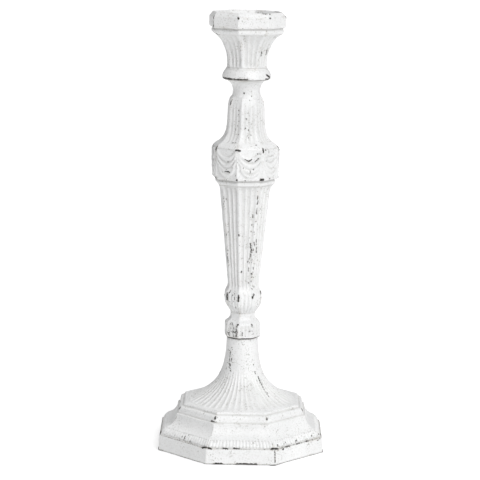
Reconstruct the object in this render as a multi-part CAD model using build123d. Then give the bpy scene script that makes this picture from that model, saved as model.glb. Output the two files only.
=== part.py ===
from build123d import *
import os
from math import cos, exp, pi, radians, sin, tan

# Octagonal candlestick: a hollow foot, a cored column and a cup, all cast iron, drawn together
# by one tie rod that is nutted up inside the foot.
#
# Millimetres, +Z up, origin on the axis at the height of the surface the felt discs stand on.
# The castings are eight-sided but for the trumpet and the joint under the cup, which are round.
# A point of an outline is (apothem, height), or (radius, height) where the casting is round.
# An apothem runs from the axis to a flat side.

# ---- driving dimensions -------------------------------------------------------------------
TOP = 380.0             # rim of the cup
SEAM = 97.0             # foot meets column
CUP_JOINT = 322.6       # column meets cup
FOOT_APOTHEM = 72.0
RIM_APOTHEM = 31.4
SIDES = 8
CLOCKING = 8.8          # degrees the column and cup are screwed round on the foot

CANDLE_BORE_R = 11.5    # takes a 22 mm taper candle
CANDLE_BORE_DEPTH = 25.0
DISH_FLOOR = 374.4      # wax dish inside the rim
DISH_APOTHEM = 25.2
LIP_APOTHEM = 27.2      # inner edge of the lip round the dish

ROD_R = 3.95            # M8 tie rod
THREAD_R = 4.0
ROD_TOP = 339.0
ROD_TAIL = 3.0          # rod left below the nut
CLEARANCE_R = 4.5
CORE_R = 5.5            # narrowest part of the column's core
THREAD_TOP = 341.0      # blind end of the cup's thread

TRUMPET_FOOT = 41.0     # the round trumpet rises from the eight-sided steps
HOLLOW_STEP = 36.9      # top of the eight-sided part of the hollow
WEB_UNDERSIDE = 86.0    # web across the top of the foot, which the nut pulls on
FOOT_SPIGOT_R = 9.0
FOOT_SPIGOT_DEPTH = 4.0
NECK_STEP = 308.6       # the neck turns from eight-sided to round
RING_TOP = 332.4        # the cup turns from round to eight-sided
CUP_SPIGOT_R = 7.5
CUP_SPIGOT_DEPTH = 7.0
SPIGOT_GAP = 0.1        # play round each spigot
SPIGOT_END_GAP = 0.4    # room beyond its end, so that the shoulders meet first

WASHER_R, WASHER_HOLE_R, WASHER_T = 8.0, 4.2, 1.6
SPRING_R, SPRING_HOLE_R, SPRING_T = 7.4, 4.1, 2.0
SPRING_SLIT = 1.2
NUT_FLATS, NUT_H, NUT_CHAMFER = 13.0, 6.5, 0.8

DISC_R, DISC_T, DISC_PROUD = 4.5, 1.4, 0.6
DISC_COUNT = 4
DISC_APOTHEM = 66.6     # the felt discs sit in corners of the foot's flat rim

FLARE_POINTS = 9        # points along each flared curve
FLARE_CROWDING = 1.4    # above 1, the points crowd towards its wide end


# ---- outlines and eight-sided solids ------------------------------------------------------
def flare(neck, spread, base, length, low, high):
    """Points of an exponential trumpet curve that narrows towards neck from low to high."""
    shares = [(i / (FLARE_POINTS - 1)) ** FLARE_CROWDING for i in range(FLARE_POINTS)]
    heights = [low + (high - low) * share for share in shares]
    return [(neck + spread * exp(-(z - base) / length), z) for z in heights]


def outline_face(start, steps):
    """Face between the axis and an outline. A step is a point for a straight run, a pair of
    points for an arc (through, end), or a list of points for a smooth curve."""
    def at(point):
        return Vector(point[0], 0, point[1])

    edges = [Line(Vector(0, 0, start[1]), at(start))]
    here = start
    for step in steps:
        if isinstance(step, list):
            edges.append(Spline(*[at(p) for p in [here] + step]))
            here = step[-1]
        elif isinstance(step[0], tuple):
            edges.append(ThreePointArc(at(here), at(step[0]), at(step[1])))
            here = step[1]
        else:
            edges.append(Line(at(here), at(step)))
            here = step
    edges.append(Line(at(here), Vector(0, 0, here[1])))
    edges.append(Line(Vector(0, 0, here[1]), Vector(0, 0, start[1])))
    return Face(Wire(edges))


def octagonal(start, *steps):
    """Eight-sided solid whose flat sides all follow one outline, mitred at the corners."""
    half_angle = pi / SIDES
    reach = 2 * FOOT_APOTHEM
    side = extrude(outline_face(start, steps), amount=reach, dir=(0, 1, 0), both=True)
    flank = reach * tan(half_angle)
    slice_plan = make_face(Polyline((0, 0), (reach, flank), (reach, -flank), close=True))
    wedge = side & extrude(slice_plan, amount=TOP + reach, both=True)
    wedges = [Rot(0, 0, 360 / SIDES * i) * wedge for i in range(SIDES)]
    return Part() + wedges


def turned(start, *steps):
    """Round solid with the given outline, closed along the axis."""
    return revolve(outline_face(start, steps), axis=Axis.Z)


def rod(radius, low, high):
    """Plain cylinder on the axis from one height to another."""
    return turned((radius, low), (radius, high))


# ---- castings -----------------------------------------------------------------------------
def base_casting():
    """Stepped foot with a round trumpet, hollow from below, with a web at its top."""
    steps = octagonal(
        (FOOT_APOTHEM, DISC_PROUD),
        (70.8, 13.6), (70.2, 14.2),                 # plinth, with a little draft
        (69.6, 14.4), ((67.8, 18.0), (64.8, 20.6)),  # band that carries the gadroons
        ((59.2, 24.2), (56.4, 31.7)),               # cove
        (54.7, 32.3), (54.0, 35.7),                 # fillet
        ((53.1, 37.5), (51.2, 38.2)), (50.5, 38.5),  # two beads
        ((49.9, 40.2), (48.4, TRUMPET_FOOT)),
    )
    sweep = flare(13.2, 34.8, TRUMPET_FOOT, 13.1, TRUMPET_FOOT, SEAM - 0.8)
    trumpet = turned(sweep[0], sweep[1:], (13.4, SEAM))
    stepped_hollow = octagonal(
        (61.0, 0.0), (60.5, 12.5),
        ((54.6, 18.6), (51.4, 25.0)), (50.8, 31.5),
        (48.4, 34.4), (43.6, HOLLOW_STEP),
    )
    hollow_sweep = flare(9.6, 33.4, 37.2, 12.9, HOLLOW_STEP, WEB_UNDERSIDE)
    throat = turned(hollow_sweep[0], hollow_sweep[1:])
    rod_hole = rod(CLEARANCE_R, 0, TOP)
    socket_floor = SEAM - FOOT_SPIGOT_DEPTH - SPIGOT_END_GAP
    socket = rod(FOOT_SPIGOT_R + SPIGOT_GAP, socket_floor, SEAM + 1)
    recesses = [place * rod(DISC_R, 0, DISC_T) for place in disc_places()]
    return steps + trumpet - stepped_hollow - throat - rod_hole - socket - recesses


def column_casting():
    """Fluted column: collar, knop, tapering shaft, bead, band, shoulder and round-topped neck."""
    shoulder = flare(15.4, 10.2, 266.8, 5.6, 267.1, 287.0)
    body = octagonal(
        (14.3, SEAM), (15.05, 97.8), (15.05, 108.0),                    # collar
        ((14.6, 110.1), (13.2, 111.5)), ((11.2, 113.6), (10.4, 116.8)),  # lower neck
        (10.5, 118.8),
        (13.0, 122.8), ((14.9, 126.2), (15.5, 129.8)),                  # knop
        ((15.7, 132.3), (15.5, 134.8)),
        ((15.05, 137.9), (13.9, 140.4)), ((13.25, 142.4), (13.15, 145.2)),
        (20.7, 225.8), ((21.5, 228.8), (22.9, 231.4)),                  # shaft
        (23.2, 231.9), ((24.9, 234.2), (24.3, 236.4)),                  # bead
        (24.3, 237.0), (26.9, 237.4), (27.5, 238.1),                    # band
        (27.5, 263.6), (26.9, 265.2), shoulder,
        (15.4, 295.4), ((14.9, 301.4), (13.5, 306.6)),                  # upper neck
        (12.5, NECK_STEP),
    )
    round_neck = turned(
        (12.5, NECK_STEP), ((11.95, 312.0), (12.4, 315.8)),
        ((14.3, 319.4), (19.4, 321.9)), (19.4, CUP_JOINT),
    )
    core = turned(
        (CORE_R, 0), (CORE_R, 120), (7.0, 146), (13.2, 226), (17.0, 240),
        (17.0, 261), (9.6, 276), (8.8, 300), (CORE_R, 308), (CORE_R, TOP),
    )
    spigot = rod(FOOT_SPIGOT_R, SEAM - FOOT_SPIGOT_DEPTH, SEAM)
    socket_floor = CUP_JOINT - CUP_SPIGOT_DEPTH - SPIGOT_END_GAP
    socket = rod(CUP_SPIGOT_R + SPIGOT_GAP, socket_floor, CUP_JOINT + 1)
    return Rot(0, 0, CLOCKING) * (body + round_neck + spigot - core - socket)


def cup_casting():
    """Flared cup on a round ring: a wax dish with a candle socket in it, threaded from below."""
    bore_floor = DISH_FLOOR - CANDLE_BORE_DEPTH
    ring = turned(
        (20.6, CUP_JOINT), (21.25, 323.6),
        ((20.7, 327.0), (18.8, 330.4)), (18.2, 331.2), (17.6, RING_TOP),
    )
    body = octagonal(
        (16.35, RING_TOP), (16.3, 336.4),                               # flare
        ((17.3, 344.3), (19.6, 350.8)), ((22.0, 355.6), (27.2, 360.6)),
        (28.2, 361.2), ((29.5, 363.4), (29.1, 365.6)), (29.1, 366.6),   # ovolo and groove
        (31.0, 366.9), (RIM_APOTHEM, 367.5),                            # fascia
        (RIM_APOTHEM, 376.0), (28.8, 379.4), (28.2, TOP),               # bevel and lip
    )
    dish = octagonal(
        (DISH_APOTHEM - 1.0, DISH_FLOOR), (DISH_APOTHEM, DISH_FLOOR + 0.8),
        (LIP_APOTHEM - 0.8, TOP - 0.8), (LIP_APOTHEM, TOP), (LIP_APOTHEM, TOP + 1),
    )
    spigot = rod(CUP_SPIGOT_R, CUP_JOINT - CUP_SPIGOT_DEPTH, CUP_JOINT)
    candle_bore = rod(CANDLE_BORE_R, bore_floor, TOP)
    thread = rod(THREAD_R, 0, THREAD_TOP)
    return Rot(0, 0, CLOCKING) * (ring + body + spigot - dish - candle_bore - thread)


# ---- tie rod and its fastenings, inside the foot ------------------------------------------
def tie_rod(nut_underside):
    """M8 rod with chamfered ends, from below the nut up into the cup."""
    chamfer = 1.0
    low = nut_underside - ROD_TAIL
    return turned(
        (ROD_R - chamfer, low), (ROD_R, low + chamfer),
        (ROD_R, ROD_TOP - chamfer), (ROD_R - chamfer, ROD_TOP),
    )


def plain_washer(underside):
    """Flat washer against the foot's web."""
    top = underside + WASHER_T
    return rod(WASHER_R, underside, top) - rod(WASHER_HOLE_R, underside - 1, top + 1)


def spring_washer(underside):
    """Split washer, closed up flat by the nut, with its slit on the slant."""
    top = underside + SPRING_T
    ring = rod(SPRING_R, underside, top) - rod(SPRING_HOLE_R, underside - 1, top + 1)
    slit = Pos(SPRING_R, 0, underside + SPRING_T / 2) * Rot(25, 0, 0) * Box(
        2 * SPRING_R, SPRING_SLIT, 4 * SPRING_T
    )
    return ring - slit


def hex_nut(underside):
    """Hexagon nut with its corners chamfered at both ends."""
    top = underside + NUT_H
    corner_r = NUT_FLATS / 2 / cos(pi / 6)
    plan = RegularPolygon(radius=corner_r, side_count=6)
    prism = extrude(Pos(0, 0, underside) * plan, amount=NUT_H)
    barrel = turned(
        (corner_r - NUT_CHAMFER, underside), (corner_r, underside + NUT_CHAMFER / 2),
        (corner_r, top - NUT_CHAMFER / 2), (corner_r - NUT_CHAMFER, top),
    )
    return (prism & barrel) - rod(THREAD_R, underside - 1, top + 1)


# ---- felt discs ---------------------------------------------------------------------------
def disc_places():
    """Centres of the discs, in every second corner of the foot's rim."""
    centre_r = DISC_APOTHEM / cos(pi / SIDES)
    angles = [180 / SIDES + 360 / DISC_COUNT * i for i in range(DISC_COUNT)]
    return [Pos(centre_r * cos(radians(a)), centre_r * sin(radians(a)), 0) for a in angles]


def felt_discs():
    """Felt discs glued into the shallow recesses under the foot."""
    return Compound(children=[place * rod(DISC_R, 0, DISC_T) for place in disc_places()])


# ---- assembly -----------------------------------------------------------------------------
washer_underside = WEB_UNDERSIDE - WASHER_T
spring_underside = washer_underside - SPRING_T
nut_underside = spring_underside - NUT_H

parts = {
    "base_casting": base_casting(),
    "column_casting": column_casting(),
    "cup_casting": cup_casting(),
    "tie_rod": tie_rod(nut_underside),
    "plain_washer": plain_washer(washer_underside),
    "spring_washer": spring_washer(spring_underside),
    "hex_nut": hex_nut(nut_underside),
    "felt_discs": felt_discs(),
}

os.makedirs("parts", exist_ok=True)
for name, part in parts.items():
    export_step(part, f"parts/{name}.step")
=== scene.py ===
from math import ceil, cos, exp, pi, radians, sin, sqrt, tan

import bpy
import numpy as np
from mathutils import Euler, Matrix, Vector


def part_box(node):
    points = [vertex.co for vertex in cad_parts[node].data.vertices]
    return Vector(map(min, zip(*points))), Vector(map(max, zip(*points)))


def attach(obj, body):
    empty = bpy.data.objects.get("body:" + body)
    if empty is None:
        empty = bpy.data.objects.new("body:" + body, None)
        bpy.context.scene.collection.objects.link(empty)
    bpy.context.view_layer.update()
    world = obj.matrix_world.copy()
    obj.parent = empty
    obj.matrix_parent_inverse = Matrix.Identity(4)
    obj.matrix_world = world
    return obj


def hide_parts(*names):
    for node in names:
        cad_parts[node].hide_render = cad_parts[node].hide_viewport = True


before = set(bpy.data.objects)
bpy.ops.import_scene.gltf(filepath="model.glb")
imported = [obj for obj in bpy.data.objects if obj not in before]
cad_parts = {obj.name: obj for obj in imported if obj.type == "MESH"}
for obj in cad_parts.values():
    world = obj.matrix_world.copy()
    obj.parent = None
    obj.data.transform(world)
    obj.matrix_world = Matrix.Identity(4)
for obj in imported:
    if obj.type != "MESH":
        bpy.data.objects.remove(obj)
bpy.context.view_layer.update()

# Painted cast-iron candlestick. The castings are skins: rings of points stacked along an outline,
# eight-sided or round, with the flutes, swags and beads raised or sunk on them.
# Sizes are millimetres until a mesh is made. A point of an outline is (apothem, height), where an
# apothem runs from the axis to a flat side, or is the radius where the casting is round.

MM = 0.001
SIDES = 8
CORNER = pi / SIDES                     # half the turn from one flat side to the next


def corner_of(node):
    """Apothem and clocking, in mm and radians, of an eight-sided node from its farthest corner."""
    plan = max((v.co.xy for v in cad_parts[node].data.vertices), key=lambda p: p.length)
    turn = (np.arctan2(plan.y, plan.x) - CORNER) % (2 * CORNER)
    return plan.length / MM * cos(CORNER), turn


# ---- driving sizes, read from the frame ---------------------------------------------------
FOOT_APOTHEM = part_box("base_casting")[1].x / MM
FOOT_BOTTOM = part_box("base_casting")[0].z / MM
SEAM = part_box("base_casting")[1].z / MM
CUP_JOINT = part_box("column_casting")[1].z / MM
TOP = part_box("cup_casting")[1].z / MM
RIM_APOTHEM, CLOCKING = corner_of("cup_casting")

FULL_TURN = 2 * pi
ARC_COLUMNS = 3                         # extra columns round each rounded arris
ARRIS_RADIUS = 1.1                      # of the corners of the octagon, less on thin parts
TRACE_STEP = 0.1                        # between the points an outline is worked on
TURN_STEP = 0.22                        # most that the surface turns between rings, in radians
SHARP = 0.5                             # bend, in radians a mm, that counts as an edge or a valley
FAR = 9.0                               # stands for no edge or valley close by

WEB = SEAM - 11.0                       # underside of the web at the top of the foot
TRUMPET_FOOT = 41.0                     # the round trumpet rises from the eight-sided steps
HOLLOW_STEP = 36.9                      # the foot's hollow widens under its steps
NECK_STEP = 308.6                       # the neck turns from eight-sided to round
RING_EDGE = 323.6                       # widest part of the ring under the cup
RING_TOP = 332.4                        # the cup turns from round to eight-sided
RIM_EDGE = 376.0                        # upper edge of the rim's upright face


# ---- outlines -----------------------------------------------------------------------------
def flare(neck, spread, base, length, low, high):
    """Points of an exponential trumpet curve that narrows towards neck from low to high."""
    heights = np.linspace(low, high, 80)
    return [(neck + spread * exp(-(z - base) / length), z) for z in heights]


def arc(start, through, end):
    """Points on the circle through three points, from the first to the last."""
    (ax, ay), (bx, by), (cx, cy) = start, through, end
    d = 2 * (ax * (by - cy) + bx * (cy - ay) + cx * (ay - by))
    a2, b2, c2 = ax * ax + ay * ay, bx * bx + by * by, cx * cx + cy * cy
    ux = (a2 * (by - cy) + b2 * (cy - ay) + c2 * (ay - by)) / d
    uy = (a2 * (cx - bx) + b2 * (ax - cx) + c2 * (bx - ax)) / d
    angles = np.unwrap([np.arctan2(y - uy, x - ux) for x, y in (start, through, end)])
    radius = sqrt((ax - ux) ** 2 + (ay - uy) ** 2)
    return [
        (ux + radius * cos(t), uy + radius * sin(t))
        for t in np.linspace(angles[0], angles[2], 24)[1:]
    ]


def trace(start, *steps):
    """Outline as points: a step is a point, an arc's (through, end), or a list of points."""
    points = [start]
    for step in steps:
        if isinstance(step, list):
            points += step
        elif isinstance(step[0], tuple):
            points += arc(points[-1], *step)
        else:
            points.append(step)
    return points


class Run:
    """Part of an outline with one density of columns, eight-sided (0) or round (1)."""

    def __init__(self, columns, spacing, outline, roundness=(0.0, 0.0), bare=0.0, shade_and_soiling=0.0):
        self.columns = columns          # columns on each side of the octagon
        self.spacing = spacing          # longest step between rings
        self.outline = outline
        self.roundness = roundness      # at the start and at the end
        self.bare = bare                # how little paint reached it
        # Painted shade: how much darker a run is painted, for deep parts such as the cup's dish and
        # candle socket
        self.shade_and_soiling = shade_and_soiling


ROUND = (1.0, 1.0)
FLAT_TO_ROUND = (0.0, 1.0)
ROUND_TO_FLAT = (1.0, 0.0)


def evenly(points):
    """The same line with points every TRACE_STEP or so."""
    line = np.array(points, float)
    length = np.hypot(*np.diff(line, axis=0).T)
    keep = np.concatenate([[True], length > 1e-6])
    line, reach = line[keep], np.concatenate([[0], np.cumsum(length)])[keep]
    at = np.linspace(0, reach[-1], max(3, int(reach[-1] / TRACE_STEP) + 1))
    return np.column_stack([np.interp(at, reach, line[:, i]) for i in (0, 1)])


def soften(values, sigma, closed):
    """Values along a line, blurred over sigma points each way."""
    reach = int(3 * sigma) + 1
    weights = np.exp(-0.5 * (np.arange(-reach, reach + 1) / sigma) ** 2)
    if closed:
        padded = np.pad(values, reach, mode="wrap")
    else:
        padded = np.pad(values, reach, mode="reflect", reflect_type="odd")
    return np.convolve(padded, weights / weights.sum(), "valid")


class Stations:
    """Rings along an outline: where each is, which way its surface faces, how edgy it is."""

    def __init__(self, runs, closed, rounding=0.28):
        lines = [evenly(run.outline) for run in runs]
        which = np.concatenate([np.full(len(line), i) for i, line in enumerate(lines)])
        share = np.concatenate([np.linspace(0, 1, len(line)) for line in lines])
        first, last = np.array([run.roundness for run in runs]).T
        line = np.concatenate(lines)
        sigma = rounding / TRACE_STEP
        apothem = soften(line[:, 0], sigma, closed)
        height = soften(line[:, 1], sigma, closed)
        slope = np.gradient(apothem), np.gradient(height)
        step = np.hypot(*slope)
        heading = soften(np.unwrap(np.arctan2(slope[1], slope[0])), 2.0, False)
        along = np.cumsum(step)
        bend = np.gradient(heading) / np.maximum(step, 1e-4)
        spacing = np.array([run.spacing for run in runs])[which]
        chosen = self.spread(step / spacing + np.abs(np.gradient(heading)) / TURN_STEP)
        self.apothem, self.height = apothem[chosen], height[chosen]
        self.normal = np.column_stack([np.sin(heading), -np.cos(heading)])[chosen]
        self.along = along[chosen]
        self.columns = np.array([run.columns for run in runs])[which][chosen]
        self.roundness = (first[which] + (last - first)[which] * share)[chosen]
        self.bare = np.array([run.bare for run in runs])[which][chosen]
        self.shade_and_soiling = np.array([run.shade_and_soiling for run in runs])[which][chosen]
        self.to_edge = self.nearest(along, along[bend > SHARP])[chosen]
        self.to_valley = self.nearest(along, along[bend < -SHARP])[chosen]

    @staticmethod
    def spread(importance):
        """Points that share the importance out evenly."""
        total = np.cumsum(importance)
        marks = np.linspace(total[0], total[-1], int(total[-1]) + 2)
        return np.unique(np.searchsorted(total, marks - 1e-9))

    @staticmethod
    def nearest(along, marks):
        """Distance along the line to the nearest mark."""
        if not len(marks):
            return np.full(len(along), FAR)
        right = np.clip(np.searchsorted(marks, along), 0, len(marks) - 1)
        left = np.clip(right - 1, 0, len(marks) - 1)
        return np.minimum(abs(marks[right] - along), abs(marks[left] - along))


# ---- skins --------------------------------------------------------------------------------
def ring_plan(columns):
    """Each column of a ring: its side, place across the side (-1 to 1), share of corner turn."""
    flat = np.linspace(-1, 1, columns - ARC_COLUMNS)
    turn = np.arange(1, ARC_COLUMNS + 1) / (ARC_COLUMNS + 1)
    across = np.concatenate([flat, np.ones(ARC_COLUMNS)])
    share = np.concatenate([np.zeros(len(flat)), turn])
    side = np.repeat(np.arange(SIDES), columns)
    order = side + 0.48 * np.tile(across, SIDES) + 0.04 * np.tile(share, SIDES)
    return side, np.tile(across, SIDES), np.tile(share, SIDES), order


class Patch:
    """A block of rings with the same columns, as arrays of shape (rings, columns)."""

    def __init__(self, stations, rows, clocking):
        side, place, share, self.order = ring_plan(stations.columns[rows[0]])
        apothem = stations.apothem[rows][:, None]
        roundness = stations.roundness[rows][:, None]
        corner = np.minimum(ARRIS_RADIUS, 0.09 * apothem)
        self.apothem = apothem
        self.half_width = (apothem - corner) * tan(CORNER)
        self.across = place[None, :] * self.half_width
        self.height = stations.height[rows][:, None] + 0 * self.across
        self.along = stations.along[rows][:, None] + 0 * self.across
        bearing = side * 2 * CORNER + clocking
        turn = share * 2 * CORNER
        out = apothem - corner + corner * np.cos(turn)
        sideways = self.across + corner * np.sin(turn)
        x = out * np.cos(bearing) - sideways * np.sin(bearing)
        y = out * np.sin(bearing) + sideways * np.cos(bearing)
        stretch = apothem / np.maximum(np.hypot(x, y), 1e-6) * roundness + 1 - roundness
        self.points = np.stack([x * stretch, y * stretch, self.height], -1)
        self.angle = np.arctan2(y, x)
        swing = (self.angle - bearing - turn + pi) % FULL_TURN - pi
        facing = bearing + turn + roundness * swing
        radial, rise = stations.normal[rows].T[:, :, None]
        self.normal = np.stack(
            [radial * np.cos(facing), radial * np.sin(facing), rise + 0 * facing], -1
        )
        self.flat = roundness < 0.5
        arris = np.where(share > 0, 0.0, self.half_width - abs(self.across))
        arris = np.where(self.flat, arris, FAR)
        self.edge = np.minimum(arris, stations.to_edge[rows][:, None])
        # Painted shade: darker close to the concave corners of the outline, and on runs given painted
        # shade
        valley = 0.7 * np.exp(-stations.to_valley[rows][:, None] / 0.6)
        self.cavity = np.maximum(valley, stations.shade_and_soiling[rows][:, None]) + 0 * self.across
        self.bare = stations.bare[rows][:, None] + 0 * self.across


def stitch(low, high, low_start, high_start):
    """Triangles between two rings whose columns differ."""
    a = np.append(low, low[0] + SIDES)
    b = np.append(high, high[0] + SIDES)
    i = j = 0
    faces = []
    while i < len(low) or j < len(high):
        here = low_start + i % len(low), high_start + j % len(high)
        if j == len(high) or (i < len(low) and a[i + 1] <= b[j + 1]):
            i += 1
            faces.append((here[0], low_start + i % len(low), here[1]))
        else:
            j += 1
            faces.append((here[0], high_start + j % len(high), here[1]))
    return faces


def quads(rings, columns, start):
    """Quads between rings that share their columns."""
    index = start + np.arange(rings * columns).reshape(rings, columns)
    after = np.roll(index, -1, axis=1)
    return np.stack([index[:-1], after[:-1], after[1:], index[1:]], -1).reshape(-1, 4).tolist()


def skin(name, runs, relief, closed, clocking=0.0, chips=(), seed=1):
    """Casting made of rings along its outline, closed on itself or capped at both ends."""
    stations = Stations(runs, closed)
    cuts = np.flatnonzero(np.diff(stations.columns)) + 1
    patches = [Patch(stations, rows, clocking)
               for rows in np.split(np.arange(len(stations.columns)), cuts)]
    faces, starts, count = [], [], 0
    for patch in patches:
        raised, hollow = relief(patch)
        patch.cavity = np.maximum(patch.cavity, hollow)
        broad, fine = waves(patch.points, 9, seed), waves(patch.points, 3.2, seed + 1)
        sunk = np.minimum(0.09 * (broad - 1.2) + 0.04 * (fine - 1.2), -0.02)
        roughness = np.where(patch.bare > 0.5, 2.0, 1.0)
        patch.points = patch.points + patch.normal * (raised + sunk * roughness)[..., None]
        rings, columns = patch.across.shape
        faces += quads(rings, columns, count)
        starts.append((count, count + (rings - 1) * columns, patch.order))
        count += rings * columns
    for (_, low, low_order), (high, _, high_order) in zip(starts, starts[1:]):
        faces += stitch(low_order, high_order, low, high)
    points = np.concatenate([p.points.reshape(-1, 3) for p in patches])
    values = {
        key: np.concatenate([getattr(p, key).ravel() for p in patches])
        for key in ("edge", "cavity", "bare")
    }
    if closed:
        faces += stitch(starts[-1][2], starts[0][2], starts[-1][1], starts[0][0])
    else:
        ends = (starts[0][0], len(starts[0][2]), False), (starts[-1][1], len(starts[-1][2]), True)
        for start, columns, upper in ends:
            rim = start + np.arange(columns)
            centre = points[rim].mean(0)
            points = np.vstack([points, centre])
            values = {key: np.append(v, v[start]) for key, v in values.items()}
            pairs = zip(rim, np.roll(rim, -1))
            fan = [(a, b, count) if upper else (b, a, count) for a, b in pairs]
            faces += [tuple(int(i) for i in face) for face in fan]
            count += 1
    values["chip"] = chip_distance(points, chips)
    return make_piece(name, points, faces, values)


def make_piece(name, points, faces, values):
    """Smooth-shaded mesh object in metres, with the values on its points."""
    mesh = bpy.data.meshes.new(name)
    mesh.from_pydata((points * MM).tolist(), [], faces)
    mesh.polygons.foreach_set("use_smooth", np.ones(len(mesh.polygons), bool))
    for key, value in values.items():
        mesh.attributes.new(key, "FLOAT", "POINT").data.foreach_set("value", value)
    mesh.update()
    piece = bpy.data.objects.new(name, mesh)
    bpy.context.scene.collection.objects.link(piece)
    return piece


def waves(points, wavelength, seed):
    """Smooth unevenness, about -1 to 1: waves in seeded random directions added up."""
    rng = np.random.default_rng(seed)
    total = 0.0
    for _ in range(9):
        direction = rng.normal(size=3)
        direction *= FULL_TURN / wavelength / rng.uniform(0.7, 1.6) / np.linalg.norm(direction)
        total = total + np.sin(points @ direction + rng.uniform(0, FULL_TURN))
    return total / 4


# ---- chips in the paint -------------------------------------------------------------------
# A chip is a stroke: (turn, height, turn at its end, height at its end, half its width). A turn is
# in degrees round the axis from the front, positive towards +X.

def chip_distance(points, chips):
    """Distance in mm from every point to the rim of the nearest chip, negative inside it."""
    bearing = np.degrees(np.arctan2(points[:, 0], -points[:, 1]))
    radius = np.hypot(points[:, 0], points[:, 1])

    def on_surface(turn, height):
        off = (bearing - turn + 180) % 360 - 180
        miss = (np.radians(off) * radius) ** 2 + (points[:, 2] - height) ** 2
        outermost = radius[miss < miss.min() + 4.0].max()
        outside = radius >= 0.87 * outermost        # leaves out the walls of the hollow and the dish
        return points[np.argmin(np.where(outside, miss, np.inf))]

    nearest = np.full(len(points), 4.0)
    for turn, height, turn_end, height_end, size in chips:
        steps = max(1, ceil(abs(turn_end - turn) / 9))
        marks = [on_surface(turn + (turn_end - turn) * i / steps,
                            height + (height_end - height) * i / steps) for i in range(steps + 1)]
        for start, end in zip(marks, marks[1:]):
            run = end - start
            share = np.clip((points - start) @ run / max(run @ run, 1e-9), 0, 1)
            gap = np.linalg.norm(points - start - share[:, None] * run, axis=1) - size
            nearest = np.minimum(nearest, gap)
    return nearest


def scattered(seed, clocking, edges, lowest, highest):
    """Chips for the sides away from the front: on corners, along edges, and stray dots."""
    rng = np.random.default_rng(seed)
    chips = []
    for i in range(SIDES):
        arris = np.degrees(CORNER * (2 * i + 1) + clocking) + 90
        if abs((arris + 180) % 360 - 180) < 80:
            continue
        for height, size in edges:
            if rng.random() < 0.6:
                turn = arris + rng.normal(0, 1)
                size = size * rng.uniform(0.5, 1.0)
                chips.append((turn, height, turn + rng.normal(0, 3), height + rng.normal(0, 0.8), size))
            if rng.random() < 0.45:
                turn = arris + rng.uniform(6, 38)
                length = rng.uniform(1, 8)
                chips.append((turn, height, turn + length, height, size * rng.uniform(0.3, 0.7)))
        for _ in range(2):
            turn, height = arris + rng.uniform(0, 45), rng.uniform(lowest, highest)
            end = turn + rng.normal(0, 2), height + rng.normal(0, 2)
            chips.append((turn, height, *end, rng.uniform(0.25, 0.5)))
    return chips


def pitted(seed, count, turns, heights, size):
    """Small pits and short upright scratches crowded into one area of the paint."""
    rng = np.random.default_rng(seed)
    pits = []
    for _ in range(count):
        turn, height = rng.uniform(*turns), rng.uniform(*heights)
        length = max(0.0, rng.normal(0.3, 0.8))
        pits.append((turn, height, turn, height + length, size * rng.uniform(0.5, 1.2)))
    return pits


# ---- relief -------------------------------------------------------------------------------
# Every relief is (raised, hollow): mm along the surface's normal, and how much darker it is painted
# there: painted shade in flutes, joints between lobes, creases and under overhangs, and dark joint lines
# and wear in places.

def side_lanes(patch, count, reach, span=None):
    """Lanes side by side on each flat side, as (-1 to 1 across the lane, half its width)."""
    pitch = 2 * (reach * patch.half_width if span is None else span + 0 * patch.half_width) / count
    shift = 0.5 if count % 2 == 0 else 0.0
    lane = np.round(patch.across / pitch - shift) + shift
    lane = np.clip(lane, -(count - 1) / 2, (count - 1) / 2)
    return (patch.across - lane * pitch) / (pitch / 2), pitch / 2


def round_lanes(patch, count):
    """Lanes side by side all round a round part."""
    turn = patch.angle * count / FULL_TURN
    return 2 * (turn - np.floor(turn)) - 1, pi * patch.apothem / count


def to_lane(patch, lanes, low, high, blunt=1.0):
    """How far a point is from the middle of its lane: 1 is the lane's edge or round end."""
    off, half = lanes[0], lanes[1] * blunt
    foot = np.interp(low, patch.height[:, 0], patch.along[:, 0])
    head = np.interp(high, patch.height[:, 0], patch.along[:, 0])
    past = np.maximum(0, np.maximum(foot + half - patch.along, patch.along - head + half))
    past = np.where((patch.height < low) | (patch.height > high), 2 * half, past)
    return np.hypot(off, past / half)


def flutes(patch, lanes, low, high, depth, fill=0.86, blunt=1.0):
    """Sunk flutes with round ends, painted darker along their middles as painted shade."""
    off, half = lanes
    d = np.minimum(to_lane(patch, (off / fill, half * fill), low, high, blunt), 1)
    sunk = (1 - d ** 2) ** 0.75
    return -depth * sunk, 0.5 * sunk


def lobes(patch, count, reach, low, high, depth):
    """Raised lobes with round ends: the outline is their crest, and the joints are sunk and painted
    darker as painted shade.
    """
    d = to_lane(patch, side_lanes(patch, count, reach), low, high)
    inside = (patch.height > low) & (patch.height < high)
    drop = 1 - np.sqrt(np.clip(1 - d ** 2, 0, 1))
    margin = np.clip((abs(patch.across) / patch.half_width - reach) / 0.04, 0, 1)
    drop = np.where(inside, drop * (1 - margin), 0)
    return -depth * drop, 0.9 * drop ** 3


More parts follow.
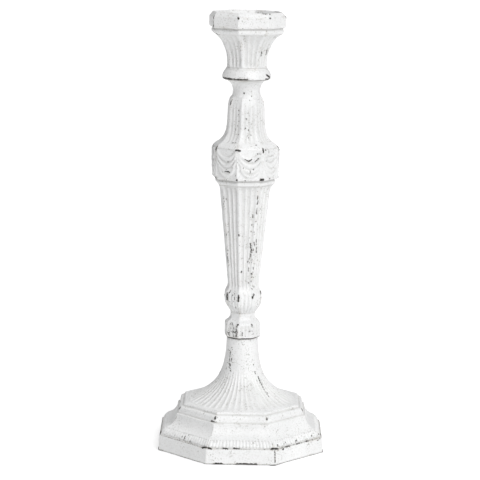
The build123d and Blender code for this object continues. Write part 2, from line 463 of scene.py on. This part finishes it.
def swags(patch, low, high, rise):
    """Drapery on each side of the band: four rolled folds, hung in curves from its upper corners."""
    u = patch.across / patch.half_width
    v = (patch.height - low) / (high - low)
    raised = np.zeros_like(u)
    hollow = np.zeros_like(u)
    folds = (0.68, 1.03, 0.97), (0.45, 0.90, 0.96), (0.27, 0.66, 0.92), (0.11, 0.42, 0.78)
    for dip, hung, span in folds:       # lowest point, height at the ends, and reach to each side
        bow = np.clip(1 - (u / span) ** 2, 0, 1)
        middle = hung - (hung - dip) * bow ** 0.8
        off = abs(v - middle) / (0.085 * (0.75 + 0.25 * bow) * (1 + 0.5 * (u / span) ** 2))
        inside = abs(u) < span
        roll = np.where(inside, np.sqrt(np.clip(1 - off ** 2, 0, 1)), 0)
        raised = np.maximum(raised, rise * roll)
        # Painted shade in the creases just beside each roll.
        rim = np.where(inside, np.exp(-((off - 1.15) / 0.3) ** 2), 0)
        hollow = np.maximum(hollow, 0.7 * rim * (1 - 0.6 * (u / span) ** 2))
    field = np.clip((0.98 - abs(u)) / 0.06, 0, 1) * np.clip(v / 0.05, 0, 1)
    field = field * np.clip((1.02 - v) / 0.04, 0, 1)
    ground = 0.3 * rise
    return field * (raised - ground), hollow * field


def soil_and_shade_line(patch, height, spread, strength):
    """Dark line round the casting, used for painted shade in creases and under overhangs and for dark
    joints and worn edges: above 1 it is nearly black.
    """
    return 0 * patch.height, strength * np.exp(-((patch.height - height) / spread) ** 2)


def combine(*parts):
    """Several reliefs laid over one another."""
    return sum(p[0] for p in parts), np.maximum.reduce([p[1] for p in parts])


def fade(height, start, end):
    """1 at start falling smoothly to 0 at end."""
    t = np.clip((height - start) / (end - start), 0, 1)
    return 1 - t * t * (3 - 2 * t)


# ---- castings -----------------------------------------------------------------------------
def foot_relief(patch):
    sweep = flutes(patch, round_lanes(patch, 48), TRUMPET_FOOT + 0.4, 78.0, 0.62, 0.9)
    shrink = fade(patch.height, 52.0, 76.0) * (patch.height > TRUMPET_FOOT)
    sweep = sweep[0] * shrink, sweep[1] * shrink
    beads = lobes(patch, 19, 0.975, 14.7, 20.4, 0.75)
    # Dark lines: a dark joint at the seam; painted shadow and wear along the plinth's upper edge and
    # along the bottom edge; a faint broad darkening low on the foot.
    lines = [soil_and_shade_line(patch, SEAM - 0.1, 0.5, 2.0), soil_and_shade_line(patch, 14.1, 0.45, 1.45),
             soil_and_shade_line(patch, FOOT_BOTTOM + 0.2, 0.8, 1.7), soil_and_shade_line(patch, 6.0, 8.0, 0.16)]
    total = combine(sweep, beads, *lines)
    outside = patch.bare < 0.5
    return np.where(outside, total[0], 0), np.where(outside, total[1], 0)


def base_casting(chips):
    """Stepped hollow foot with its round trumpet, and the web that the rod pulls on."""
    rod_hole, spigot, socket = 4.5, 9.1, SEAM - 4.4
    hollow_sweep = flare(9.6, 33.4, 37.2, 12.9, WEB, HOLLOW_STEP)
    sweep = flare(13.2, 34.8, TRUMPET_FOOT, 13.1, TRUMPET_FOOT, SEAM - 0.8)
    runs = [
        Run(12, 3.0, [(rod_hole, WEB)] + hollow_sweep, ROUND, bare=1.0),
        Run(12, 0.2, [hollow_sweep[-1], (43.6, HOLLOW_STEP)], ROUND_TO_FLAT, bare=1.0),
        Run(24, 2.0, trace(
            (43.6, HOLLOW_STEP), (48.4, 34.4), (50.8, 31.5), (51.4, 25.0),
            ((54.6, 18.6), (60.5, 12.5)), (61.0, FOOT_BOTTOM)), bare=1.0),
        Run(24, 1.6, [(61.0, FOOT_BOTTOM), (FOOT_APOTHEM, FOOT_BOTTOM)], bare=0.5),
        Run(56, 1.0, trace((FOOT_APOTHEM, FOOT_BOTTOM), (70.8, 13.6), (70.2, 14.2), (69.6, 14.4))),
        Run(174, 0.5, trace((69.6, 14.4), ((67.8, 18.0), (64.8, 20.6)))),
        Run(56, 0.8, trace(
            (64.8, 20.6), ((59.2, 24.2), (56.4, 31.7)), (54.7, 32.3), (54.0, 35.7),
            ((53.1, 37.5), (51.2, 38.2)), (50.5, 38.5), ((49.9, 40.2), (48.4, TRUMPET_FOOT)))),
        Run(56, 0.2, [(48.4, TRUMPET_FOOT), sweep[0]], FLAT_TO_ROUND),
        Run(56, 0.75, sweep + [(13.4, SEAM)], ROUND),
        Run(8, 3.0, [(13.4, SEAM), (spigot, SEAM), (spigot, socket), (rod_hole, socket),
                     (rod_hole, WEB)], ROUND),
    ]
    return skin("base_skin", runs, foot_relief, closed=True, chips=chips, seed=11)


def column_relief(patch):
    lanes = side_lanes(patch, 3, 0.88)
    shaft = flutes(patch, lanes, 120.0, 231.6, 1.0, blunt=0.5)
    knop = lobes(patch, 3, 0.88, 119.4, 170.0, 0.9)
    to_shaft = 1 - fade(patch.height, 133.0, 148.0)
    below = patch.height < 170.0
    neck = flutes(patch, side_lanes(patch, 3, 0.8, span=5.2), 268.6, 306.0, 0.38)
    to_neck = fade(patch.height, 294.0, 307.0)
    total = combine(
        flutes(patch, side_lanes(patch, 3, 0.80), 99.0, 109.0, 0.28),
        (np.where(below, knop[0] * (1 - to_shaft), 0), np.where(below, knop[1] * (1 - to_shaft), 0)),
        (shaft[0] * to_shaft, shaft[1] * to_shaft),
        swags(patch, 238.9, 263.4, 1.25),
        (neck[0] * to_neck, neck[1] * to_neck),
        # Dark lines: along the band's upper edge; painted shade in the creases under the bead and under
        # the band, and broadly under the ring at the top; a dark joint at the seam.
        soil_and_shade_line(patch, 264.3, 0.35, 0.95),
        soil_and_shade_line(patch, SEAM + 0.2, 0.6, 2.2),
        soil_and_shade_line(patch, 231.9, 0.55, 1.15),
        soil_and_shade_line(patch, 237.1, 0.4, 1.0),
        soil_and_shade_line(patch, CUP_JOINT - 0.4, 2.6, 0.9),
    )
    outside = patch.bare < 0.5
    return np.where(outside & patch.flat, total[0], 0), np.where(outside, total[1], 0)


def column_casting(chips):
    """Collar, knop, fluted shaft, bead, band with swags, shoulder and neck, cored through."""
    spigot, socket = SEAM - 4.0, CUP_JOINT - 7.4
    outer = trace(
        (14.3, SEAM), (15.05, 97.8), (15.05, 108.0),
        ((14.6, 110.1), (13.2, 111.5)), ((11.2, 113.6), (10.4, 116.8)), (10.5, 118.8),
        (13.0, 122.8), ((14.9, 126.2), (15.5, 129.8)), ((15.7, 132.3), (15.5, 134.8)),
        ((15.05, 137.9), (13.9, 140.4)), ((13.25, 142.4), (13.15, 145.2)),
        (20.7, 225.8), ((21.5, 228.8), (22.9, 231.4)),
        (23.2, 231.9), ((24.9, 234.2), (24.3, 236.4)),
        (24.3, 237.0), (26.9, 237.4), (27.5, 238.1), (27.5, 263.6), (26.9, 265.2),
        flare(15.4, 10.2, 266.8, 5.6, 267.1, 287.0),
        (15.4, 295.4), ((14.9, 301.4), (13.5, 306.6)),
    )
    neck = trace(
        (12.5, NECK_STEP), ((11.95, 312.0), (12.4, 315.8)),
        ((14.3, 319.4), (19.4, 321.9)), (19.4, CUP_JOINT),
    )
    core = trace(
        (7.6, CUP_JOINT), (7.6, socket), (5.5, socket), (5.5, 308.0), (8.8, 300.0), (9.6, 276.0),
        (17.0, 261.0), (17.0, 240.0), (13.2, 226.0), (7.0, 146.0), (5.5, 120.0), (5.5, spigot),
        (9.0, spigot), (9.0, SEAM),
    )
    runs = [
        Run(42, 0.8, outer),
        Run(42, 0.3, [(13.5, 306.6), (12.5, NECK_STEP)], FLAT_TO_ROUND),
        Run(24, 0.8, neck, ROUND),
        Run(8, 3.0, [(19.4, CUP_JOINT), (7.6, CUP_JOINT)], ROUND),
        Run(5, 8.0, core, ROUND, bare=1.0),
        Run(8, 3.0, [(9.0, SEAM), (14.3, SEAM)], ROUND_TO_FLAT),
    ]
    return skin("column_skin", runs, column_relief, True, CLOCKING, chips, seed=23)


def cup_relief(patch):
    total = combine(
        flutes(patch, side_lanes(patch, 3, 0.86), 333.8, 361.3, 0.9, 0.92, blunt=0.4),
        # Dark lines: painted shade under the ovolo where the flutes end and in the crease under the
        # fascia; a dark joint at the ring's lower edge; a faint dark line near the ring's top.
        soil_and_shade_line(patch, 361.1, 0.4, 0.9),
        soil_and_shade_line(patch, CUP_JOINT, 0.7, 1.2),
        soil_and_shade_line(patch, 366.3, 0.5, 1.0),
        soil_and_shade_line(patch, 331.4, 0.5, 0.5),
    )
    outside = patch.bare < 0.5
    return np.where(outside & patch.flat, total[0], 0), np.where(outside, total[1], 0)


def cup_casting(chips):
    """Flared cup on a round ring, with a wax dish and a candle socket in its top."""
    spigot, blind = CUP_JOINT - 7.0, TOP - 39.0
    floor, socket = TOP - 5.6, TOP - 30.6
    ring = trace(
        (20.6, CUP_JOINT), (21.25, RING_EDGE), ((20.7, 327.0), (18.8, 330.4)), (18.2, 331.2),
        (17.6, RING_TOP),
    )
    outer = trace(
        (16.35, RING_TOP), (16.3, 336.4),
        ((17.3, 344.3), (19.6, 350.8)), ((22.0, 355.6), (27.2, 360.6)),
        (28.2, 361.2), ((29.5, 363.4), (29.1, 365.6)), (29.1, 366.6),
        (31.0, 366.9), (RIM_APOTHEM, 367.5),
        (RIM_APOTHEM, RIM_EDGE), (28.8, 379.4), (28.2, TOP), (27.2, TOP),
    )
    dish = trace((27.2, TOP), (26.4, TOP - 0.8), (25.2, floor + 0.8), (24.2, floor))
    runs = [
        Run(5, 3.0, [(0.4, blind), (4.0, blind), (4.0, spigot), (7.5, spigot), (7.5, CUP_JOINT)],
            ROUND, bare=1.0),
        Run(24, 3.0, [(7.5, CUP_JOINT), (20.6, CUP_JOINT)], ROUND),
        Run(24, 0.7, ring, ROUND),
        Run(42, 0.3, [(17.6, RING_TOP), (16.35, RING_TOP)], ROUND_TO_FLAT),
        Run(42, 0.7, outer),
        # The wax dish, its floor and the candle socket are painted darker inward, as painted shade.
        Run(24, 1.0, dish, shade_and_soiling=0.15),
        Run(12, 1.5, [(24.2, floor), (11.9, floor)], FLAT_TO_ROUND, shade_and_soiling=0.35),
        Run(12, 1.5, [(11.9, floor), (11.5, floor - 0.5), (11.5, socket), (0.4, socket)], ROUND,
            shade_and_soiling=0.8),
    ]
    return skin("cup_skin", runs, cup_relief, False, CLOCKING, chips, seed=37)


# ---- materials ----------------------------------------------------------------------------
class Shader:
    """A material's node tree with short ways to add nodes."""

    def __init__(self, name):
        self.material = bpy.data.materials.new(name)
        self.material.use_nodes = True
        self.nodes = self.material.node_tree.nodes
        self.links = self.material.node_tree.links
        self.surface = self.nodes["Principled BSDF"]
        self.place = self.nodes.new("ShaderNodeTexCoord").outputs["Object"]

    def feed(self, socket, value):
        if isinstance(value, bpy.types.NodeSocket):
            self.links.new(value, socket)
        else:
            socket.default_value = value

    def value(self, name):
        node = self.nodes.new("ShaderNodeAttribute")
        node.attribute_name = name
        return node.outputs["Fac"]

    def math(self, operation, a, b=0.0):
        node = self.nodes.new("ShaderNodeMath")
        node.operation = operation
        self.feed(node.inputs[0], a)
        self.feed(node.inputs[1], b)
        return node.outputs[0]

    def ramp(self, value, low, high, out_low=0.0, out_high=1.0):
        """Smooth step of value from low to high."""
        node = self.nodes.new("ShaderNodeMapRange")
        node.interpolation_type = "SMOOTHSTEP"
        for key, given in (("From Min", low), ("From Max", high),
                           ("To Min", out_low), ("To Max", out_high)):
            node.inputs[key].default_value = given
        self.feed(node.inputs["Value"], value)
        return node.outputs["Result"]

    def noise(self, size, detail=3.0, roughness=0.55, shift=0.0):
        """Noise with features about size mm across."""
        node = self.nodes.new("ShaderNodeTexNoise")
        node.noise_dimensions = "4D"
        node.inputs["Scale"].default_value = 1 / (size * MM)
        node.inputs["Detail"].default_value = detail
        node.inputs["Roughness"].default_value = roughness
        node.inputs["W"].default_value = shift
        self.links.new(self.place, node.inputs["Vector"])
        return node.outputs["Fac"]

    def mix(self, share, a, b):
        """Colour a where share is 0, b where it is 1."""
        node = self.nodes.new("ShaderNodeMix")
        node.data_type = "RGBA"
        self.feed(node.inputs["Factor"], share)
        self.feed(node.inputs[6], (*a, 1) if isinstance(a, tuple) else a)
        self.feed(node.inputs[7], (*b, 1) if isinstance(b, tuple) else b)
        return node.outputs[2]

    def bump(self, height, depth, below=None):
        """Bump whose height of 1 stands depth mm proud."""
        node = self.nodes.new("ShaderNodeBump")
        node.inputs["Distance"].default_value = depth * MM
        self.feed(node.inputs["Height"], height)
        if below is not None:
            self.links.new(below, node.inputs["Normal"])
        return node.outputs["Normal"]


def painted_iron():
    """Distressed off-white paint over cast iron: chips, rubbed edges, dark joints, and painted shade with
    some soiling in the hollows and grooves.
    """
    s = Shader("painted_iron")
    edge, cavity, chip, bare = (s.value(k) for k in ("edge", "cavity", "chip", "bare"))
    ragged = s.math("SUBTRACT", s.noise(1.1, 4.0, 0.6), 0.5)
    broad = s.noise(9.0, 3.0, 0.6, shift=3.0)
    cloudy = s.noise(28.0, 2.0, 0.5, shift=7.0)
    grain = s.noise(0.7, 3.0, 0.65, shift=11.0)

    rim = s.math("ADD", chip, s.math("MULTIPLY", ragged, 3.0))
    chipped = s.ramp(rim, 0.12, -0.08)
    near = s.ramp(edge, 0.9, 0.0)
    rubbed = s.math("ADD", s.math("MULTIPLY", near, 0.10), s.noise(2.4, 5.0, 0.7, shift=2.0))
    rubbed = s.ramp(rubbed, 0.735, 0.755)
    unpainted = s.ramp(s.math("ADD", bare, s.math("MULTIPLY", broad, 0.5)), 0.95, 1.1)
    # Near black where the darkening runs high: dark joints and worn edge lines, and painted shadow in
    # deep creases and under overhangs.
    blackened_joints_and_shade = s.ramp(s.math("ADD", cavity, s.math("MULTIPLY", ragged, 2.5)), 1.25, 1.6)
    dark = s.math("MAXIMUM", s.math("MAXIMUM", chipped, rubbed), s.math("MAXIMUM", unpainted, blackened_joints_and_shade))

    clean = s.mix(s.ramp(cloudy, 0.35, 0.65), (0.740, 0.744, 0.746), (0.778, 0.781, 0.782))
    # Browner where the darkening runs: mostly painted shade in hollows, grooves and under overhangs, with
    # soiling and dark joints in places.
    shade_and_soiling = s.math("MULTIPLY", s.ramp(cavity, 0.0, 1.0), s.ramp(broad, 0.3, 0.7, 0.45, 1.0))
    paint = s.mix(s.math("MULTIPLY", shade_and_soiling, 0.55), clean, (0.38, 0.37, 0.34))
    thin = s.math("MULTIPLY", s.ramp(edge, 1.6, 0.1), s.ramp(broad, 0.50, 0.66))
    paint = s.mix(s.math("MULTIPLY", thin, 0.25), paint, (0.50, 0.45, 0.39))
    halo = s.math("MULTIPLY", s.ramp(rim, 1.0, 0.0), s.ramp(grain, 0.35, 0.7))
    paint = s.mix(s.math("MULTIPLY", halo, 0.45), paint, (0.30, 0.28, 0.25))
    speckle = s.noise(1.3, 3.0, 0.6, shift=5.0)
    paint = s.mix(s.ramp(speckle, 0.48, 0.64, 0.0, 0.22), paint, (0.42, 0.41, 0.38))
    pits = s.math("MULTIPLY", s.ramp(speckle, 0.58, 0.64), s.ramp(broad, 0.46, 0.60))
    paint = s.mix(s.math("MULTIPLY", pits, 0.6), paint, (0.26, 0.25, 0.22))
    metal = s.mix(s.ramp(grain, 0.4, 0.7), (0.010, 0.009, 0.008), (0.040, 0.031, 0.025))
    s.feed(s.surface.inputs["Base Color"], s.mix(dark, paint, metal))
    s.feed(s.surface.inputs["Roughness"], s.ramp(s.math("ADD", grain, dark), 0.3, 1.3, 0.42, 0.62))

    coat = s.bump(s.noise(4.5, 2.0, 0.5, shift=1.0), 0.2)
    coat = s.bump(speckle, 0.12, coat)
    coat = s.bump(grain, 0.06, coat)
    coat = s.bump(s.math("SUBTRACT", 1.0, pits), 0.12, coat)
    coat = s.bump(s.math("SUBTRACT", 1.0, dark), 0.16, coat)
    s.feed(s.surface.inputs["Normal"], coat)
    return s.material


def plated_steel(name, colour, dull):
    """Plated or oiled steel with fine scratches and cloudy wear."""
    s = Shader(name)
    cloudy, fine = s.noise(2.2, 3.0), s.noise(0.35, 4.0, 0.7, shift=4.0)
    dark = tuple(0.55 * c for c in colour)
    s.feed(s.surface.inputs["Base Color"], s.mix(s.ramp(cloudy, 0.4, 0.75), colour, dark))
    s.surface.inputs["Metallic"].default_value = 1.0
    s.feed(s.surface.inputs["Roughness"], s.ramp(fine, 0.3, 0.7, dull - 0.1, dull + 0.15))
    s.feed(s.surface.inputs["Normal"], s.bump(fine, 0.02))
    return s.material


def felt():
    """Dark grey felt: matted fibres."""
    s = Shader("felt")
    fibre = s.noise(0.35, 6.0, 0.75)
    tuft = s.noise(1.6, 3.0, 0.6, shift=2.0)
    colour = s.mix(s.ramp(tuft, 0.3, 0.7), (0.055, 0.058, 0.055), (0.10, 0.10, 0.095))
    s.feed(s.surface.inputs["Base Color"], s.mix(s.ramp(fibre, 0.5, 0.75), colour, (0.16, 0.16, 0.15)))
    s.surface.inputs["Roughness"].default_value = 0.95
    s.surface.inputs["Sheen Weight"].default_value = 0.4
    s.feed(s.surface.inputs["Normal"], s.bump(fibre, 0.15))
    return s.material


# ---- small pieces -------------------------------------------------------------------------
def tie_rod():
    """Rod with a rolled thread at both ends."""
    low, high = (c.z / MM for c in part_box("tie_rod"))
    radius, pitch, depth, columns = 3.95, 1.25, 0.6, 24
    threads = (low, low + 22.0), (high - 26.0, high)
    heights = [low, low + 0.9]
    for start, end in threads:
        heights += list(np.arange(max(start, low + 1.0), min(end, high - 1.0), pitch / 8))
    heights += [high - 0.9, high]
    turn = np.arange(columns) / columns
    points = []
    for z in heights:
        threaded = any(start < z < end for start, end in threads)
        chamfer = max(0.0, 1.0 - min(z - low, high - z))
        wave = abs((z / pitch - turn) % 1.0 - 0.5) * 2
        r = np.minimum(radius - chamfer, radius - (depth * wave if threaded else 0))
        ring = np.column_stack([r * np.cos(FULL_TURN * turn), r * np.sin(FULL_TURN * turn),
                                np.full(columns, z)])
        points.append(ring)
    faces = quads(len(heights), columns, 0)
    last = (len(heights) - 1) * columns
    faces += [list(range(columns))[::-1], list(range(last, last + columns))]
    return make_piece("rod_thread", np.concatenate(points), faces, {})


def felt_discs():
    """Soft round discs, a little uneven, in four corners under the foot."""
    low, high = (c.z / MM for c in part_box("felt_discs"))
    radius, columns, discs = 4.5, 40, 4
    inset = 5.4                         # from the foot's flat sides to the discs' centres
    centre = (FOOT_APOTHEM - inset) / cos(CORNER)
    section = [(0.3, low), (radius - 0.5, low), (radius - 0.1, low + 0.25), (radius, low + 0.6),
               (radius, high - 0.15), (radius - 0.3, high), (0.3, high)]
    turn = np.arange(columns) / columns * FULL_TURN
    points, faces = [], []
    for i in range(discs):
        bearing = CORNER + i * FULL_TURN / discs
        at = np.array([centre * cos(bearing), centre * sin(bearing), 0])
        start = len(points) * columns
        for r, z in section:
            ring = np.column_stack([r * np.cos(turn), r * np.sin(turn), np.full(columns, z)]) + at
            out = ring - at
            out[:, 2] = 0
            ring += out * 0.012 * waves(ring, 3.0, 5 + i)[:, None]
            points.append(ring)
        faces += quads(len(section), columns, start)
        last = start + (len(section) - 1) * columns
        faces += [list(range(start, start + columns))[::-1], list(range(last, last + columns))]
    return make_piece("felt_pieces", np.concatenate(points), faces, {})


# ---- dressing -----------------------------------------------------------------------------
def dress(piece, node, material):
    """A piece that stands for a CAD node."""
    piece.data.materials.append(material)
    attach(piece, "root")
    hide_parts(node)


def repaint(node, material):
    """Gives a CAD node that keeps its shape a better finish."""
    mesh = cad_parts[node].data
    mesh.materials.clear()
    mesh.materials.append(material)


# ---- wear ---------------------------------------------------------------------------------
# Heights, in mm, of the edges that the wear follows.
OVOLO = 361.2
BAND_TOP, BAND_BOTTOM, BEAD = 264.0, 238.7, 231.4
KNOP, COLLAR = 133.5, 109.6
UPPER_TIER, LOWER_TIER, PLINTH_EDGE, PLINTH_FOOT = 36.5, 33.0, 14.0, 1.1


def on_corners(clocking, height, tall, sizes):
    """Chips where an edge meets corners 0 to 3, which the front shows from left to right."""
    turns = {k: float(np.degrees(clocking + CORNER * (2 * k - 3))) for k in sizes}
    return [(turns[k], height + tall / 2, turns[k], height - tall / 2, size)
            for k, size in sizes.items()]


def on_edge(height, size, *stretches):
    """Chips along an edge, each from one turn to another."""
    return [(start, height, end, height, size) for start, end in stretches]


def strokes(size, *ends):
    """Scratches, each from one turn and height to another."""
    return [(*stroke, size) for stroke in ends]


def cup_chips():
    rim = on_corners(CLOCKING, RIM_EDGE, 1, {0: 0.7, 1: 0.8, 3: 0.7}) + on_edge(RIM_EDGE, 0.7, (34, 36))
    top = on_edge(TOP - 0.4, 0.35, (25, 32)) + on_edge(TOP - 0.6, 0.5, (37, 40))
    fascia = on_corners(CLOCKING, 371.5, 7, {0: 0.22}) + on_corners(CLOCKING, 368, 1, {0: 0.5})
    ovolo = on_corners(CLOCKING, OVOLO, 1, {0: 0.7}) + on_edge(OVOLO, 0.4, (-8, -6))
    flare_marks = strokes(0.32, (46, 347, 46, 343), (70, 349, 71, 344))
    ring = on_edge(RING_EDGE, 0.75, (-72, -38)) + on_edge(RING_EDGE, 0.5, (-38, 2), (50, 64))
    ring += strokes(0.85, (57, 327, 63, 326), (63, 326, 70, 325))
    unseen = scattered(3, CLOCKING, [(376.2, 0.9), (361.8, 0.7), (323.8, 0.8)], 335, 360)
    return rim + top + fascia + ovolo + flare_marks + ring + unseen


def column_chips():
    neck = on_edge(311, 0.65, (-10, -9)) + on_edge(309, 0.4, (22, 23))
    neck += on_corners(CLOCKING, 302.5, 3, {0: 0.7})
    neck += on_edge(269.5, 0.35, (-31, -29), (-24, -21)) + on_edge(268, 0.35, (21, 23))
    band = on_corners(CLOCKING, BAND_TOP, 3, {0: 0.9, 2: 0.8, 3: 0.8})
    band += on_edge(BAND_TOP, 0.9, (-17, -10)) + on_edge(BAND_TOP, 0.4, (36, 38))
    band += on_corners(CLOCKING, BAND_BOTTOM, 1, {0: 0.8, 1: 0.75, 3: 0.6})
    band += on_edge(BAND_BOTTOM, 1.05, (27, 33)) + on_edge(BAND_BOTTOM, 0.4, (49, 51))
    band += on_edge(BEAD, 0.9, (-76, -74))
    folds = strokes(0.45, (-1, 256, 5, 255), (5, 255, 11, 256), (18, 255, 23, 257))
    folds += on_edge(254, 0.45, (-33, -31)) + on_edge(245, 0.5, (-37, -29)) + on_edge(261, 0.25, (22, 27))
    shaft = strokes(0.35, (31, 224, 31, 221), (33, 220, 31, 217), (31, 213, 31, 208))
    shaft += strokes(0.35, (-64, 228, -63, 222), (-66, 219, -64, 208), (-65, 203, -64, 188))
    shaft += on_edge(201, 0.3, (-16, -15)) + on_corners(CLOCKING, 189, 1, {1: 0.5})
    shaft += strokes(0.37, (20, 182, 25, 176), (25, 176, 22, 170), (22, 170, 13, 165))
    shaft += strokes(0.28, (41, 185, 43, 180), (44, 178, 46, 173))
    shaft += on_corners(CLOCKING, 166, 4, {0: 0.55})
    shaft += on_edge(156, 0.75, (-8, -7)) + on_edge(154.5, 0.7, (29, 30))
    knop = on_corners(CLOCKING, KNOP, 5, {0: 1.15, 1: 0.8})
    knop += strokes(0.85, (36, 136, 30, 134)) + strokes(0.5, (74, 138, 75, 136))
    collar = on_edge(COLLAR, 0.7, (-16, -15)) + on_corners(CLOCKING, COLLAR, 0.5, {2: 0.7})
    pits = [
        pitted(31, 52, (-62, -17), (98.4, 109.0), 0.29),                # collar
        pitted(32, 10, (-8, 40), (98.4, 104.0), 0.26),
        pitted(33, 16, (-60, -16), (124.0, 141.0), 0.26),               # knop
        pitted(34, 18, (18, 50), (140.0, 160.0), 0.30),                 # shaft
        pitted(35, 26, (16, 34), (160.0, 205.0), 0.24),
        pitted(36, 20, (-70, -50), (150.0, 225.0), 0.30),
        pitted(37, 22, (-45, 26), (272.0, 306.0), 0.30),                # neck
        pitted(38, 16, (-50, 70), (240.0, 262.0), 0.24),                # band
    ]
    edges = [(302, 0.5), (BAND_TOP, 1.0), (238.5, 0.9), (133, 1.0), (109, 0.6)]
    unseen = scattered(5, CLOCKING, edges, 115, 300)
    return neck + band + folds + shaft + knop + collar + sum(pits, []) + unseen


def foot_chips():
    trumpet = strokes(0.25, (-45, 85, -46, 75), (-46, 75, -33, 68)) + strokes(0.35, (-38, 79, -37, 77))
    trumpet += strokes(0.4, (48, 63, 50, 56), (50, 55, 47, 48))
    tiers = on_corners(0, UPPER_TIER, 1, {0: 0.8, 1: 0.8, 2: 0.8, 3: 0.8})
    tiers += on_edge(LOWER_TIER, 0.7, (-26, -21))
    upper = on_edge(PLINTH_EDGE, 0.8, (-76, -70)) + on_edge(PLINTH_EDGE, 1.0, (-26, -20), (21, 25))
    upper += on_edge(PLINTH_EDGE, 0.6, (-12, -9), (-5, -1), (72, 75))
    upper += on_edge(PLINTH_EDGE, 0.45, (32, 36), (43, 47), (53, 55))
    upper += on_corners(0, 8, 10, {2: 0.35})
    lower = on_edge(PLINTH_FOOT, 1.1, (-22, -12), (-3, 11)) + on_edge(PLINTH_FOOT, 0.4, (18, 22))
    lower += on_corners(0, PLINTH_FOOT + 0.5, 1, {0: 0.8, 3: 0.7})
    pits = [
        pitted(41, 18, (-62, -36), (60.0, 95.0), 0.19),                 # left of the trumpet
        pitted(42, 9, (38, 60), (48.0, 74.0), 0.17),                    # right of the trumpet
        pitted(43, 14, (-60, -24), (14.2, 20.0), 0.34),                 # over the plinth
        pitted(44, 26, (24, 70), (11.0, 17.0), 0.34),
    ]
    unseen = scattered(7, 0.0, [(UPPER_TIER, 0.7), (32.8, 0.6), (PLINTH_EDGE, 0.8), (1.2, 0.6)], 20, 80)
    return trumpet + tiers + upper + lower + sum(pits, []) + unseen


paint = painted_iron()
zinc = plated_steel("zinc_steel", (0.62, 0.60, 0.56), 0.35)
spring = plated_steel("spring_steel", (0.10, 0.10, 0.11), 0.45)
dress(base_casting(foot_chips()), "base_casting", paint)
dress(column_casting(column_chips()), "column_casting", paint)
dress(cup_casting(cup_chips()), "cup_casting", paint)
dress(tie_rod(), "tie_rod", zinc)
dress(felt_discs(), "felt_discs", felt())
repaint("plain_washer", zinc)
repaint("hex_nut", zinc)
repaint("spring_washer", spring)


# ---- studio -------------------------------------------------------------------------------
def camera():
    """Camera 1.7 m in front, 100 mm above the cup, looking a little down."""
    pitch, roll = 10.06, 0.95           # degrees
    data = bpy.data.cameras.new("camera")
    data.sensor_width = 36.0
    data.lens = 147.3
    eye = bpy.data.objects.new("camera", data)
    eye.location = Vector((-3.4, -1682.0, 480.4)) * MM
    look = Euler((radians(90 - pitch), 0, 0)).to_matrix()
    eye.rotation_euler = (look @ Matrix.Rotation(radians(roll), 3, "Z")).to_euler()
    bpy.context.scene.collection.objects.link(eye)
    bpy.context.scene.camera = eye


def floor():
    """Pale floor that glows a little, so that shadows on it stay faint."""
    mesh = bpy.data.meshes.new("floor")
    reach = 12.0
    corners = [(-reach, -reach, 0), (reach, -reach, 0), (reach, reach, 0), (-reach, reach, 0)]
    mesh.from_pydata(corners, [], [(0, 1, 2, 3)])
    plane = bpy.data.objects.new("floor", mesh)
    bpy.context.scene.collection.objects.link(plane)
    s = Shader("floor")
    s.surface.inputs["Base Color"].default_value = (0.60, 0.60, 0.60, 1)
    s.surface.inputs["Roughness"].default_value = 0.9
    s.surface.inputs["Emission Color"].default_value = (1, 1, 1, 1)
    s.surface.inputs["Emission Strength"].default_value = 0.5
    mesh.materials.append(s.material)


def sun(name, bearing, elevation, spread, strength):
    """Wide soft light from a bearing to the right of the camera, in degrees."""
    data = bpy.data.lights.new(name, "SUN")
    data.angle = radians(spread)
    data.energy = strength
    light = bpy.data.objects.new(name, data)
    light.rotation_euler = (radians(90 - elevation), 0, radians(bearing))
    bpy.context.scene.collection.objects.link(light)


def sky():
    """White surroundings: brightest overhead and behind, dimmer at the front and left."""
    world = bpy.data.worlds.new("studio")
    bpy.context.scene.world = world
    world.use_nodes = True
    nodes, links = world.node_tree.nodes, world.node_tree.links
    split = nodes.new("ShaderNodeSeparateXYZ")
    links.new(nodes.new("ShaderNodeTexCoord").outputs["Generated"], split.inputs[0])

    def grade(axis, from_low, from_high, to_low, to_high, kind="LINEAR"):
        node = nodes.new("ShaderNodeMapRange")
        node.interpolation_type = kind
        for key, value in (("From Min", from_low), ("From Max", from_high),
                           ("To Min", to_low), ("To Max", to_high)):
            node.inputs[key].default_value = value
        links.new(split.outputs[axis], node.inputs["Value"])
        return node.outputs["Result"]

    def add(a, b):
        node = nodes.new("ShaderNodeMath")
        links.new(a, node.inputs[0])
        links.new(b, node.inputs[1])
        return node.outputs[0]

    sides = grade("X", -1.0, 1.0, 0.0, 0.10)
    above = grade("Z", 0.3, 1.0, 0.0, 1.05, "SMOOTHSTEP")
    behind = grade("Y", 0.2, 1.0, 0.0, 0.2)
    links.new(add(add(sides, above), behind), nodes["Background"].inputs["Strength"])
    nodes["Background"].inputs["Color"].default_value = (1, 1, 1, 1)


camera()
floor()
sky()
sun("key", 28, 35, 40, 2.08)
bpy.context.scene.view_settings.view_transform = "Standard"
